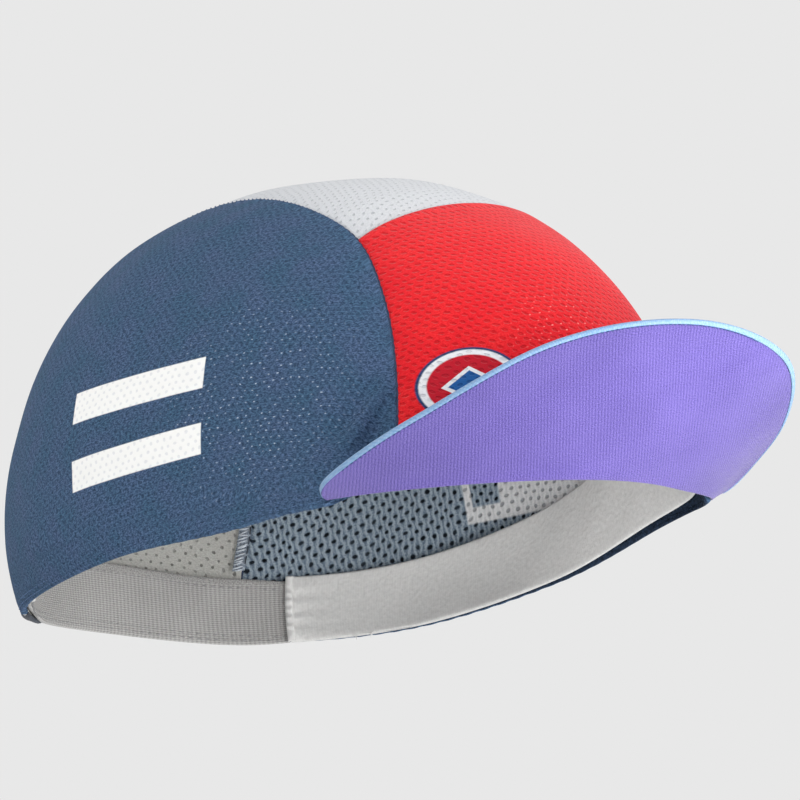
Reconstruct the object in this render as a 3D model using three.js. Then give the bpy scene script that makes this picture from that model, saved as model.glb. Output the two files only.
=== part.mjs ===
import * as THREE from 'three';

// Cycling cap with a soft knitted crown and a short peak turned up.
// Millimetres and degrees, Z up. The wearer faces -Y and the wearer's left is +X.
// The origin is the middle of the head opening, at the mean height of its rim.

// Crown: half width, half lengths to front and back, and the level where it is widest
const HALF_WIDTH = 74;
const FRONT_LENGTH = 98;
const BACK_LENGTH = 90;
const MIDDLE_Y = 3;
const WIDE_Z = 9;
const TOP_RISE = 85;
// Fullness of the crown's profile: 2 is an ellipse, more is fuller
const FULLNESS = 2.18;
// Slope of the directions that end on the rim
const RIM_SLOPE = 0.45;
const RIM_ANGLE = -THREE.MathUtils.radToDeg(Math.atan(RIM_SLOPE));

// Thicknesses, and the clearance left between neighbouring pieces
const WALL = 1.4;
const GAP = 0.3;
const BAND_THICK = 1.6;
const ELASTIC_THICK = 1.8;
const PEAK_LAYER = 1.2;

// Rim of the opening, from the front round to the back, on the wearer's left side.
// lean is how much the left side hangs lower than the mean, tuck how high the crown
// begins to draw in towards the rim.
const RIM = [
  { place: 'front', x: 0, y: -85.5, z: 7, lean: 0, tuck: 44 },
  { place: 'brow', x: 34, y: -79, z: 6.8, lean: 0, tuck: 42 },
  { place: 'peak corner', x: 65, y: -60, z: 6.6, lean: 0.8, tuck: 34 },
  { place: 'temple', x: 73.5, y: -33.5, z: 3.6, lean: 0.4, tuck: 24 },
  { place: 'side', x: 73, y: 3, z: -0.7, lean: -3.4, tuck: 14 },
  { place: 'behind the ear', x: 61, y: 45, z: -4.4, lean: -4.8, tuck: 16 },
  { place: 'back quarter', x: 37, y: 79.5, z: -3.7, lean: -3.4, tuck: 18 },
  { place: 'back', x: 0, y: 94, z: -0.8, lean: 0, tuck: 20 },
];
const BACK_STEP = RIM.length - 1;
const CORNER_STEP = 2;

// Seams between the side panels and the middle strip: half width of the strip
// as a share of the height, by the turn over the head from the front
const SEAM = [
  { turn: 0, half: 0.985 },
  { turn: 24, half: 0.79 },
  { turn: 41, half: 0.64 },
  { turn: 55, half: 0.53 },
  { turn: 70, half: 0.46 },
  { turn: 90, half: 0.355 },
  { turn: 105, half: 0.34 },
  { turn: 125, half: 0.41 },
  { turn: 150, half: 0.57 },
  { turn: 168, half: 0.66 },
  { turn: 180, half: 0.615 },
];
const CROSS_SEAM = 54;
// Seams lie in a shallow valley
const SEAM_DIP = 1.2;
const SEAM_WIDTH = 7;
const FRONT_PROUD = 1;
const HALF_SEAM_GAP = 0.16;

// Tuck in the right panel above the corner of the peak
const TUCK_TOP = new THREE.Vector3(-47, -68.5, 34);
const TUCK_FOOT = new THREE.Vector3(-57, -59, 20);
const TUCK_DEPTH = 0.8;
const TUCK_WIDTH = 5;

// Peak, from its right corner to its left: length out from the rim and tilt above level.
// The sine of turn is the share of the way from the middle to a corner.
const PEAK = [
  { turn: -90, length: 1.5, tilt: 14 },
  { turn: -64, length: 13, tilt: 22 },
  { turn: -45, length: 25.5, tilt: 31 },
  { turn: -22, length: 44, tilt: 39 },
  { turn: 0, length: 49.5, tilt: 40 },
  { turn: 22, length: 44.5, tilt: 36 },
  { turn: 45, length: 28, tilt: 32 },
  { turn: 64, length: 13, tilt: 27 },
  { turn: 90, length: 1.5, tilt: 13 },
];
const PEAK_SPLAY = 52;
const PEAK_CORNER_SPLAY = 19;
const PEAK_SET = 0.6;
const PEAK_LIP = 1.1;

// The wall stands on the peak along the front, and comes down to the rim behind its corners
const LIFT_FRONT = 6.8;
const LIFT_CORNER = 3.6;
const LIFT_END_STEP = 2.4;

// Inner bands: heights above the rim and where the elastic meets the sweatband
const JOIN_ANGLE = 141;
const JOIN_GAP_ANGLE = 0.15;
const BAND_LOW = 0.6;
const BAND_HIGH = 19;
const ELASTIC_LOW = 0.2;
const ELASTIC_HIGH = 16.3;

const NAVY = 0x3c5678;
const RED = 0xf5232a;
const WHITE = 0xe6e9ec;
const SKY = 0x6db6e4;
const LILAC = 0x7a62c8;
const BAND_WHITE = 0xd6d6d4;
const ELASTIC_GREY = 0xa9a9a8;

const rad = THREE.MathUtils.degToRad;
const deg = THREE.MathUtils.radToDeg;

// Smooth curve through one column of a table, read at a value of its key column
function along(table, key, column, at) {
  const last = table.length - 1;
  let i = 0;
  while (i < last - 1 && table[i + 1][key] <= at) {
    i += 1;
  }
  const slope = (j) => {
    const before = table[Math.max(j - 1, 0)];
    const after = table[Math.min(j + 1, last)];
    return (after[column] - before[column]) / (after[key] - before[key]);
  };
  const step = table[i + 1][key] - table[i][key];
  const t = (at - table[i][key]) / step;
  const start = table[i][column];
  const end = table[i + 1][column];
  const rise = t * t * (3 - 2 * t);
  const leave = t * (1 - t) * (1 - t);
  const arrive = t * t * (1 - t);
  return start + (end - start) * rise + step * (slope(i) * leave - slope(i + 1) * arrive);
}

// Whole rim as a table of steps: 0 at the front, positive on the left, 7 at the back
const LOOP = [];
for (let step = -BACK_STEP - 1; step <= BACK_STEP + 1; step += 1) {
  let wrapped = step;
  if (step > BACK_STEP) {
    wrapped = step - 2 * BACK_STEP;
  }
  if (step < -BACK_STEP) {
    wrapped = step + 2 * BACK_STEP;
  }
  const row = RIM[Math.abs(wrapped)];
  const side = Math.sign(wrapped);
  LOOP.push({ step, x: side * row.x, y: row.y, z: row.z + side * row.lean, tuck: row.tuck });
}

function rimAtStep(step) {
  return {
    step,
    x: along(LOOP, 'step', 'x', step),
    y: along(LOOP, 'step', 'y', step),
    z: along(LOOP, 'step', 'z', step),
    tuck: along(LOOP, 'step', 'tuck', step),
  };
}

// Step of the rim in a plan direction, found between closely spaced samples
const SAMPLES = 40 * BACK_STEP;
const RIM_SAMPLES = [];
for (let i = 0; i <= SAMPLES; i += 1) {
  const step = -BACK_STEP + (2 * BACK_STEP * i) / SAMPLES;
  const point = rimAtStep(step);
  let angle = Math.atan2(point.x, -point.y);
  if (i === 0) {
    angle = -Math.PI;
  }
  if (i === SAMPLES) {
    angle = Math.PI;
  }
  RIM_SAMPLES.push({ angle, step });
}

function rimInDirection(angle) {
  let i = 0;
  while (i < SAMPLES - 1 && RIM_SAMPLES[i + 1].angle <= angle) {
    i += 1;
  }
  const a = RIM_SAMPLES[i];
  const b = RIM_SAMPLES[i + 1];
  return rimAtStep(a.step + ((b.step - a.step) * (angle - a.angle)) / (b.angle - a.angle));
}

function halfLength(y) {
  return y < 0 ? FRONT_LENGTH : BACK_LENGTH;
}

function rimUnder(direction) {
  const length = halfLength(direction.y);
  return rimInDirection(Math.atan2(direction.x * HALF_WIDTH, -direction.y * length));
}

// Outer surface of the crown in a direction from inside the head: a full dome above
// its widest level, drawn in smoothly to the rim below
function crown(direction) {
  const flat = Math.hypot(direction.x, direction.y);
  const rise = Math.max(direction.z, 0);
  const size = (flat ** FULLNESS + rise ** FULLNESS) ** (1 / FULLNESS);
  const length = halfLength(direction.y);
  const edge = rimUnder(direction);
  let z = WIDE_Z + (TOP_RISE * rise) / size;
  if (direction.z < 0) {
    z = WIDE_Z + ((edge.z - WIDE_Z) * -direction.z) / (flat * RIM_SLOPE);
  }
  const point = new THREE.Vector3(
    (HALF_WIDTH * direction.x) / size,
    MIDDLE_Y + (length * direction.y) / size,
    z,
  );
  const pull = Math.max(0, (edge.z + edge.tuck - z) / edge.tuck) ** 2;
  if (pull > 0) {
    point.x += (edge.x - (HALF_WIDTH * direction.x) / flat) * pull;
    point.y += (edge.y - MIDDLE_Y - (length * direction.y) / flat) * pull;
  }
  return point;
}

function crownNormal(direction) {
  const d = direction.clone().normalize();
  const axis = Math.abs(d.x) < 0.8 ? new THREE.Vector3(1, 0, 0) : new THREE.Vector3(0, 1, 0);
  const across = new THREE.Vector3().crossVectors(axis, d).normalize();
  const up = new THREE.Vector3().crossVectors(d, across);
  const reach = 0.004;
  const slope = (way) => {
    const ahead = crown(d.clone().addScaledVector(way, reach));
    return ahead.sub(crown(d.clone().addScaledVector(way, -reach)));
  };
  const normal = new THREE.Vector3().crossVectors(slope(across), slope(up)).normalize();
  return normal.dot(d) < 0 ? normal.negate() : normal;
}

function directionAt(angle, elevation) {
  const flat = Math.cos(rad(elevation));
  const x = flat * Math.sin(rad(angle));
  const y = -flat * Math.cos(rad(angle));
  return new THREE.Vector3(x, y, Math.sin(rad(elevation)));
}

// Direction that meets the crown at a height above the rim
function directionAbove(angle, height) {
  const level = directionAt(angle, 0);
  const edge = rimUnder(level);
  const z = edge.z + height;
  if (z < WIDE_Z) {
    level.z = (-RIM_SLOPE * (WIDE_Z - z)) / (WIDE_Z - edge.z);
  } else {
    const share = (z - WIDE_Z) / TOP_RISE;
    level.z = share / (1 - share ** FULLNESS) ** (1 / FULLNESS);
  }
  return level.normalize();
}

function elevationOf(direction) {
  return deg(Math.atan2(direction.z, Math.hypot(direction.x, direction.y)));
}

// Height of the wall's lower edge above the rim
function lift(angle) {
  const step = Math.abs(rimUnder(directionAt(angle, 0)).step);
  const share = Math.min(step / CORNER_STEP, 1);
  const front = LIFT_FRONT + (LIFT_CORNER - LIFT_FRONT) * share ** 2;
  return front * (1 - THREE.MathUtils.smoothstep(step, CORNER_STEP, LIFT_END_STEP));
}

// Direction on the middle strip: turn runs over the head from front to back,
// share across it from the right seam (-1) to the left seam (1)
function stripDirection(turn, share) {
  const held = THREE.MathUtils.clamp(turn, 0, 180);
  const half = along(SEAM, 'turn', 'half', held);
  const x = share * half;
  const y = -Math.cos(rad(held));
  if (turn < 0) {
    return directionAt(deg(Math.atan2(x, -y)), turn);
  }
  if (turn > 180) {
    return directionAt(deg(Math.atan2(x, -y)), 180 - turn);
  }
  return new THREE.Vector3(x, y, Math.sin(rad(held))).normalize();
}

function stripAngle(turn, share) {
  const d = stripDirection(turn, share);
  return deg(Math.atan2(d.x, -d.y));
}

// Closed shell: an outer and an inner grid joined all round their edges
function shell(columns, rows, pointAt) {
  const position = [];
  const index = [];
  const stride = rows + 1;
  const layerSize = (columns + 1) * stride;
  for (let layer = 0; layer < 2; layer += 1) {
    for (let i = 0; i <= columns; i += 1) {
      for (let j = 0; j <= rows; j += 1) {
        position.push(...pointAt(i / columns, j / rows, layer).toArray());
      }
    }
  }
  const quad = (a, b, c, d) => index.push(a, b, c, a, c, d);
  const at = (layer, i, j) => layer * layerSize + i * stride + j;
  for (let i = 0; i < columns; i += 1) {
    for (let j = 0; j < rows; j += 1) {
      quad(at(0, i, j), at(0, i + 1, j), at(0, i + 1, j + 1), at(0, i, j + 1));
      quad(at(1, i, j), at(1, i, j + 1), at(1, i + 1, j + 1), at(1, i + 1, j));
    }
    quad(at(0, i, 0), at(1, i, 0), at(1, i + 1, 0), at(0, i + 1, 0));
    quad(at(0, i, rows), at(0, i + 1, rows), at(1, i + 1, rows), at(1, i, rows));
  }
  for (let j = 0; j < rows; j += 1) {
    quad(at(0, 0, j), at(0, 0, j + 1), at(1, 0, j + 1), at(1, 0, j));
    quad(at(0, columns, j), at(1, columns, j), at(1, columns, j + 1), at(0, columns, j + 1));
  }
  if (volume(position, index) < 0) {
    index.reverse();
  }
  const geometry = new THREE.BufferGeometry();
  geometry.setAttribute('position', new THREE.Float32BufferAttribute(position, 3));
  geometry.setIndex(index);
  geometry.computeVertexNormals();
  return geometry;
}

function volume(position, index) {
  const corner = (k) => new THREE.Vector3().fromArray(position, 3 * index[k]);
  let sum = 0;
  for (let k = 0; k < index.length; k += 3) {
    sum += corner(k).dot(corner(k + 1).cross(corner(k + 2)));
  }
  return sum / 6;
}

function pressed(direction, depth) {
  return crown(direction).addScaledVector(crownNormal(direction), -depth);
}

function valley(distance) {
  return SEAM_DIP * Math.exp(-distance / SEAM_WIDTH);
}

// Half the seam gap as a share of the strip's width
function seamShare(turn) {
  const held = THREE.MathUtils.clamp(turn, 0, 180);
  return HALF_SEAM_GAP / (HALF_WIDTH * along(SEAM, 'turn', 'half', held));
}

const FRONT_TURN = elevationOf(directionAbove(stripAngle(0, 1), lift(stripAngle(0, 1))));
const BACK_TURN = 180 - RIM_ANGLE;

// Side panel, from the seam over the head (row 0) down to the hem (last row)
function sidePanel(side) {
  const frontAngle = stripAngle(0, 1);
  const backAngle = stripAngle(180, 1);
  const tuckLine = new THREE.Line3(TUCK_TOP, TUCK_FOOT);
  return (u, v, layer) => {
    const turn = FRONT_TURN + (BACK_TURN - FRONT_TURN) * u;
    const top = stripDirection(turn, side * (1 + seamShare(turn)));
    const low = frontAngle + 1.5 + (backAngle - frontAngle - 3) * u;
    const foot = directionAbove(side * low, lift(low));
    const direction = top.clone().lerp(foot, v).normalize();
    const point = crown(direction);
    let depth = valley(point.distanceTo(crown(top)));
    if (side < 0) {
      const nearest = tuckLine.closestPointToPoint(point, true, new THREE.Vector3());
      depth += TUCK_DEPTH * Math.exp(-((point.distanceTo(nearest) / TUCK_WIDTH) ** 2));
    }
    return pressed(direction, depth + layer * WALL);
  };
}

// Part of the middle strip, from one turn over the head to another
function strip(startTurn, endTurn, proudTurn) {
  return (u, v, layer) => {
    const share = (2 * u - 1) * (1 - seamShare((startTurn + endTurn) / 2));
    let first = startTurn;
    if (startTurn < CROSS_SEAM) {
      const angle = stripAngle(0, share);
      first = elevationOf(directionAbove(angle, lift(angle)));
    }
    const turn = first + (endTurn - first) * v;
    const direction = stripDirection(turn, share);
    const point = crown(direction);
    const toSide = point.distanceTo(crown(stripDirection(turn, Math.sign(share))));
    const toCross = point.distanceTo(crown(stripDirection(CROSS_SEAM, share)));
    const depth = valley(toSide) + valley(toCross) * (proudTurn ? -FRONT_PROUD : 0.4);
    return pressed(direction, depth + layer * WALL);
  };
}

// Ring of the inner bands between two plan angles and two heights above the rim
function innerBand(startAngle, endAngle, low, high, thick) {
  return (u, v, layer) => {
    const angle = startAngle + (endAngle - startAngle) * u;
    const direction = directionAbove(angle > 180 ? angle - 360 : angle, low + (high - low) * v);
    return pressed(direction, SEAM_DIP + WALL + GAP + layer * thick);
  };
}

// One layer of the peak: u from the right corner to the left, v from the rim outwards
function peakLayer(bottom, extra) {
  const lowerFace = (share, v) => {
    const turn = deg(Math.asin(share));
    const tilt = rad(along(PEAK, 'turn', 'tilt', turn));
    const splay = rad(PEAK_SPLAY * share + PEAK_CORNER_SPLAY * share ** 3);
    const reach = along(PEAK, 'turn', 'length', turn) - PEAK_LIP + extra;
    const base = rimAtStep(CORNER_STEP * share);
    const out = PEAK_SET + (reach - PEAK_SET) * v;
    return new THREE.Vector3(
      base.x + out * Math.sin(splay) * Math.cos(tilt),
      base.y - out * Math.cos(splay) * Math.cos(tilt),
      base.z + out * Math.sin(tilt),
    );
  };
  return (u, v, layer) => {
    const share = Math.sin(rad(-90 + 180 * u)) * 0.9995;
    const inner = THREE.MathUtils.clamp(share, -0.97, 0.97);
    const across = lowerFace(inner + 0.01, 0.5).sub(lowerFace(inner - 0.01, 0.5));
    const outwards = lowerFace(inner, 1).sub(lowerFace(inner, 0));
    const normal = new THREE.Vector3().crossVectors(outwards, across).normalize();
    if (normal.z < 0) {
      normal.negate();
    }
    return lowerFace(share, v).addScaledVector(normal, bottom + layer * PEAK_LAYER);
  };
}

const cap = new THREE.Group();
cap.name = 'cycling_cap';

function addPiece(name, geometry, color, roughness) {
  const material = new THREE.MeshStandardMaterial({ color, roughness, metalness: 0 });
  const mesh = new THREE.Mesh(geometry, material);
  mesh.name = name;
  cap.add(mesh);
}

const crossGap = 0.1;
addPiece('right_side_panel', shell(34, 10, sidePanel(-1)), NAVY, 0.85);
addPiece('left_side_panel', shell(34, 10, sidePanel(1)), NAVY, 0.85);
addPiece('front_panel', shell(12, 10, strip(0, CROSS_SEAM - crossGap, true)), RED, 0.85);
addPiece('top_panel', shell(8, 26, strip(CROSS_SEAM + crossGap, BACK_TURN, false)), WHITE, 0.85);
addPiece('peak_under', shell(28, 4, peakLayer(0, 0)), LILAC, 0.8);
addPiece('peak_top', shell(28, 4, peakLayer(PEAK_LAYER + GAP, PEAK_LIP)), SKY, 0.8);

const bandEnd = JOIN_ANGLE - JOIN_GAP_ANGLE;
const sweatband = innerBand(-bandEnd, bandEnd, BAND_LOW, BAND_HIGH, BAND_THICK);
addPiece('sweatband', shell(52, 3, sweatband), BAND_WHITE, 0.75);
const elasticStart = JOIN_ANGLE + JOIN_GAP_ANGLE;
const elastic = innerBand(elasticStart, 360 - elasticStart, ELASTIC_LOW, ELASTIC_HIGH, ELASTIC_THICK);
addPiece('back_elastic', shell(24, 3, elastic), ELASTIC_GREY, 0.85);

export default cap;
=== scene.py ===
import bpy
import numpy as np
from mathutils import Matrix


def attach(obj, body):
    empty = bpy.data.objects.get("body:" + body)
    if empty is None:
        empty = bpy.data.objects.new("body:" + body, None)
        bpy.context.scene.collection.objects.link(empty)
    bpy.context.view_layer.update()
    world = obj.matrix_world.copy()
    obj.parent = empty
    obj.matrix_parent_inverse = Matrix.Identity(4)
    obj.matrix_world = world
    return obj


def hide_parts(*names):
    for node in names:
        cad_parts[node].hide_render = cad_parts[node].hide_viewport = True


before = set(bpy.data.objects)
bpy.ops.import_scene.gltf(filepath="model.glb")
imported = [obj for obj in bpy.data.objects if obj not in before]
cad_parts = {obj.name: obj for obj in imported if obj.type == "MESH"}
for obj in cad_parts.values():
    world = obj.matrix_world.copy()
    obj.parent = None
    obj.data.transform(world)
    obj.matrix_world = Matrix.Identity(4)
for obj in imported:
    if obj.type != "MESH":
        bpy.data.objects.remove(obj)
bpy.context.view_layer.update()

# A cycling cap with a soft knitted crown and a short peak turned up. The wearer faces -Y and the
# wearer's left is +X. Forms are worked out in millimetres and made in metres.

# The studio: a pale floor far below the cap, which is seen from a little under its own level,
# and soft light from all round with a large window of light beside the camera.


def linear(shade):
    """Linear RGBA of an sRGB hex colour."""
    shares = [int(shade[i:i + 2], 16) / 255 for i in (0, 2, 4)]
    return (*(s / 12.92 if s <= 0.04045 else ((s + 0.055) / 1.055) ** 2.4 for s in shares), 1.0)


def add_node(tree, kind, inputs=None, **settings):
    """Adds a node. Its inputs are values, or the outputs of other nodes to link to."""
    made = tree.nodes.new("ShaderNode" + kind)
    for name, value in settings.items():
        setattr(made, name, value)
    for place, value in (inputs or {}).items():
        if isinstance(value, bpy.types.NodeSocket):
            tree.links.new(value, made.inputs[place])
        else:
            made.inputs[place].default_value = value
    return made.outputs


def new_finish(name):
    """A material without nodes yet, and its tree."""
    made = bpy.data.materials.new(name)
    made.use_nodes = True
    made.node_tree.nodes.clear()
    return made, made.node_tree


scene = bpy.context.scene
scene.view_settings.view_transform = "Standard"

# The pale backdrop stands behind the cap, and the rest of the room is dimmer
BACKDROP, BACKDROP_WAY, ROOM_GLOW = "e8e8e8", (0.64, 0.64, 0.42), 0.5
FLOOR_LEVEL, FLOOR_REACH = -0.45, 7.0

world = bpy.data.worlds.new("studio")
scene.world = world
world.use_nodes = True
world.node_tree.nodes.clear()
way = add_node(world.node_tree, "TexCoord")[0]
facing = add_node(world.node_tree, "VectorMath", {0: way, 1: BACKDROP_WAY},
                  operation="DOT_PRODUCT")[1]
glow = add_node(world.node_tree, "MapRange", {0: facing, 1: 0.1, 2: 0.8, 3: ROOM_GLOW, 4: 1.0},
                interpolation_type="SMOOTHSTEP")[0]
sky = add_node(world.node_tree, "Background", {"Color": linear(BACKDROP), "Strength": glow})
add_node(world.node_tree, "OutputWorld", {"Surface": sky[0]})

floor_mesh = bpy.data.meshes.new("studio_floor")
ring = [(FLOOR_REACH * np.cos(a), FLOOR_REACH * np.sin(a), FLOOR_LEVEL)
        for a in np.linspace(0, 2 * np.pi, 96, False)]
floor_mesh.from_pydata(ring, [], [list(range(96))])
floor = bpy.data.objects.new("studio_floor", floor_mesh)
scene.collection.objects.link(floor)
paper, tree = new_finish("matt studio paper")
fibre = add_node(tree, "TexNoise", {"Scale": 400.0, "Detail": 3.0})
tone = add_node(tree, "Mix", {0: fibre[0], 6: linear("f0f0f0"), 7: linear("f4f4f4")},
                data_type="RGBA")
coat = add_node(tree, "BsdfPrincipled", {"Base Color": tone[2], "Roughness": 0.95})
add_node(tree, "OutputMaterial", {"Surface": coat[0]})
floor_mesh.materials.append(paper)

# The camera looks at the cap from its right front corner, a little from below, with a long lens
azimuth, elevation, roll = np.radians([-44.9, -7.4, -6.2])
AIM, DISTANCE, CAMERA_RIGHT, CAMERA_UP = np.array([0.0, 0.0, 0.027]), 2.5, 0.0145, 0.0138
level = np.array([np.cos(azimuth), np.sin(azimuth), 0])
back = np.array([np.sin(azimuth) * np.cos(elevation), -np.cos(azimuth) * np.cos(elevation),
                 np.sin(elevation)])
above = np.cross(back, level)
right = np.cos(roll) * level + np.sin(roll) * above
up = np.cos(roll) * above - np.sin(roll) * level
stand = AIM + DISTANCE * back + CAMERA_RIGHT * right + CAMERA_UP * up
camera = bpy.data.objects.new("camera", bpy.data.cameras.new("camera"))
camera.data.lens = 461.25
camera.data.clip_end = 50
camera.matrix_world = Matrix([*np.column_stack([right, up, back, stand]), (0, 0, 0, 1)])
scene.collection.objects.link(camera)
scene.camera = camera

# Softboxes: metres right of, above and in front of the cap as the camera sees it, width and power
SOFTBOXES = {
    "window_light": (-0.1, 1.0, 1.9, 1.1, 20.0),
    "side_light": (1.6, 0.1, 0.9, 0.9, 15.0),
    "low_light": (-0.3, -0.7, 1.5, 0.8, 12.0),
    "near_light": (0.17, -0.06, 0.12, 0.08, 0.21),
    "top_light": (-1.0, 1.3, -0.9, 0.8, 8.0),
}
for name, (across, high, near, width, power) in SOFTBOXES.items():
    light = bpy.data.lights.new(name, "AREA")
    light.shape = "DISK"
    light.size = width
    light.energy = power
    box = bpy.data.objects.new(name, light)
    at = AIM + across * level + near * np.array([back[0], back[1], 0]) + np.array([0, 0, high])
    axis = (at - AIM) / np.linalg.norm(at - AIM)
    side = np.cross([0, 0, 1], axis)
    side /= np.linalg.norm(side)
    box.matrix_world = Matrix([*np.column_stack([side, np.cross(axis, side), axis, at]),
                               (0, 0, 0, 1)])
    scene.collection.objects.link(box)

# The crown as worn: a full dome over the head, drawn in below its widest level to the rim of the
# opening. Every panel is a piece of knit stretched on it, so the form comes before the panels.
HALF_WIDTH, FRONT_LENGTH, BACK_LENGTH, MIDDLE_Y = 74.0, 98.0, 90.0, 3.0
WIDE_Z, TOP_RISE, FULLNESS, RIM_SLOPE = 9.0, 85.0, 2.18, 0.45

# Rim of the opening from front to back on the left: step, x, y, z, how much the left side hangs
# lower than the mean, and how high the crown begins to draw in
RIM = np.array([
    (0, 0, -85.5, 7, 0, 44), (1, 34, -79, 6.8, 0, 42), (2, 65, -60, 6.6, 0.8, 34),
    (3, 73.5, -33.5, 3.6, 0.4, 24), (4, 73, 3, -0.7, -3.4, 14), (5, 61, 45, -4.4, -4.8, 16),
    (6, 37, 79.5, -3.7, -3.4, 18), (7, 0, 94, -0.8, 0, 20)])
PEAK_CORNER_STEP = 2
# Half width of the middle strip as a share of the height, by the turn over the head from the front
SEAM = [(0, 0.985), (24, 0.785), (41, 0.633), (55, 0.512), (70, 0.451), (90, 0.355), (105, 0.34),
        (125, 0.41), (150, 0.57), (168, 0.66), (180, 0.615)]
# The turn at which the seam across the strip lies, and how much later it is at the strip's sides
CROSS_SEAM, CROSS_BEND = 54.0, 0.8
SEAM_WIDTH, HALF_SEAM_GAP = 7.0, 0.16
# The seams lie in a shallow valley, and their allowance is pressed under the side panels, which
# stand higher than the strip between them: mm all along, then what they dip more in front
SIDE_DIP, STRIP_DIP, SIDE_FRONT_DIP, FRONT_DIP, FRONT_DIP_WIDTH = 0.3, 1.3, 1.5, 1.0, 4.5
# They lie flatter behind the bands inside the rim: mm above the rim where that starts and ends
FLAT_TO, DIPPED_FROM, FLAT_SHARE = 14.0, 25.0, 0.35
# The wall's lower edge stands on the peak in front, and comes down to the rim at its corners
# By rim step, mm above the rim, then the steps between which it comes down
LIFT = [(0, 2.7), (1, 1.6), (1.5, 1.4), (2, 1.9)]
LIFT_FALLS_FROM, LIFT_END_STEP = 1.94, 2.02
# On the left it hangs a little lower just behind the corner: mm, rim step, and over how many steps
CORNER_DROP, DROP_AT, DROP_OVER = 0.6, 2.05, 0.3


def along(table, at):
    """Smooth curve through a table's rows of key and values, read at values of the key."""
    table = np.asarray(table, float)
    keys, values = table[:, 0], table[:, 1:]
    last = len(keys) - 1
    before = np.maximum(np.arange(last + 1) - 1, 0)
    after = np.minimum(np.arange(last + 1) + 1, last)
    slopes = (values[after] - values[before]) / (keys[after] - keys[before])[:, None]
    i = np.clip(np.searchsorted(keys, at, side="right") - 1, 0, last - 1)
    step = (keys[i + 1] - keys[i])[..., None]
    t = (np.asarray(at, float) - keys[i])[..., None] / step
    return (values[i] + (values[i + 1] - values[i]) * t**2 * (3 - 2 * t)
            + step * (slopes[i] * t * (1 - t) ** 2 - slopes[i + 1] * t**2 * (1 - t)))


loop = []
for step in range(-8, 9):
    row = RIM[abs(step if abs(step) < 8 else step - 14 * np.sign(step))]
    hand = np.sign(step if abs(step) < 8 else -step) * (abs(step) not in (0, 7))
    loop.append((step, hand * row[1], row[2], row[3] + hand * row[4], row[5]))
rim_steps = np.linspace(-7, 7, 281)
rim_line = along(loop, rim_steps)
rim_angles = np.arctan2(rim_line[:, 0], -rim_line[:, 1])
rim_angles[0], rim_angles[-1] = -np.pi, np.pi


def rim_step_under(direction):
    """Step along the rim that lies under a direction, positive on the left."""
    length = np.where(direction[..., 1] < 0, FRONT_LENGTH, BACK_LENGTH)
    angle = np.arctan2(direction[..., 0] * HALF_WIDTH, -direction[..., 1] * length)
    return np.interp(angle, rim_angles, rim_steps)


def crown(direction):
    """Outer surface in a direction from inside the head, in millimetres."""
    x, y, z = np.moveaxis(direction, -1, 0)
    flat, rise = np.hypot(x, y), np.maximum(z, 0)
    size = (flat**FULLNESS + rise**FULLNESS) ** (1 / FULLNESS)
    length = np.where(y < 0, FRONT_LENGTH, BACK_LENGTH)
    rim_x, rim_y, rim_z, tuck = np.moveaxis(along(loop, rim_step_under(direction)), -1, 0)
    level = np.where(z < 0, WIDE_Z + (rim_z - WIDE_Z) * -z / (flat * RIM_SLOPE),
                     WIDE_Z + TOP_RISE * rise / size)
    pull = np.maximum(0, (rim_z + tuck - level) / tuck) ** 2
    return np.stack([
        HALF_WIDTH * x / size + (rim_x - HALF_WIDTH * x / flat) * pull,
        MIDDLE_Y + length * y / size + (rim_y - MIDDLE_Y - length * y / flat) * pull,
        level], -1)


def unit(vectors):
    return vectors / np.linalg.norm(vectors, axis=-1, keepdims=True)


def eased(share):
    """Smooth rise from 0 to 1."""
    t = np.clip(share, 0, 1)
    return t**2 * (3 - 2 * t)


def dip_share(points):
    """Share of a seam's full depth that is left at points on the crown."""
    rim_z = along(loop, rim_step_under(points))[..., 2]
    rise = eased((points[..., 2] - rim_z - FLAT_TO) / (DIPPED_FROM - FLAT_TO))
    return FLAT_SHARE + (1 - FLAT_SHARE) * rise


def front_share(turn):
    """How much of the seams' extra depth in front there is at a turn over the head."""
    return np.clip((70 - turn) / 30, 0, 1)


def pressed(direction, depth):
    """Surface at a depth under the crown."""
    d = unit(direction)
    axis = np.where(np.abs(d[..., :1]) < 0.8, [1.0, 0, 0], [0, 1.0, 0])
    across = unit(np.cross(axis, d))
    over = np.cross(d, across)
    normal = unit(np.cross(crown(d + 0.004 * across) - crown(d - 0.004 * across),
                           crown(d + 0.004 * over) - crown(d - 0.004 * over)))
    normal *= np.sign(np.sum(normal * d, -1, keepdims=True))
    return crown(direction) - normal * np.asarray(depth)[..., None]


def direction_at(angle, turn):
    """Direction at degrees from the front, positive on the left, and degrees up."""
    angle, turn = np.broadcast_arrays(np.radians(angle), np.radians(turn))
    flat = np.cos(turn)
    return np.stack([flat * np.sin(angle), -flat * np.cos(angle), np.sin(turn)], -1)


def direction_above(angle, height):
    """Direction that meets the crown at a height above the rim."""
    level = direction_at(angle, np.zeros_like(np.asarray(angle, float)))
    rim_z = along(loop, rim_step_under(level))[..., 2]
    share = np.maximum(rim_z + height - WIDE_Z, 0) / TOP_RISE
    slope = np.where(share > 0, share / (1 - share**FULLNESS) ** (1 / FULLNESS),
                     -RIM_SLOPE * (WIDE_Z - rim_z - height) / (WIDE_Z - rim_z))
    return unit(np.concatenate([level[..., :2], slope[..., None]], -1))


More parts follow.
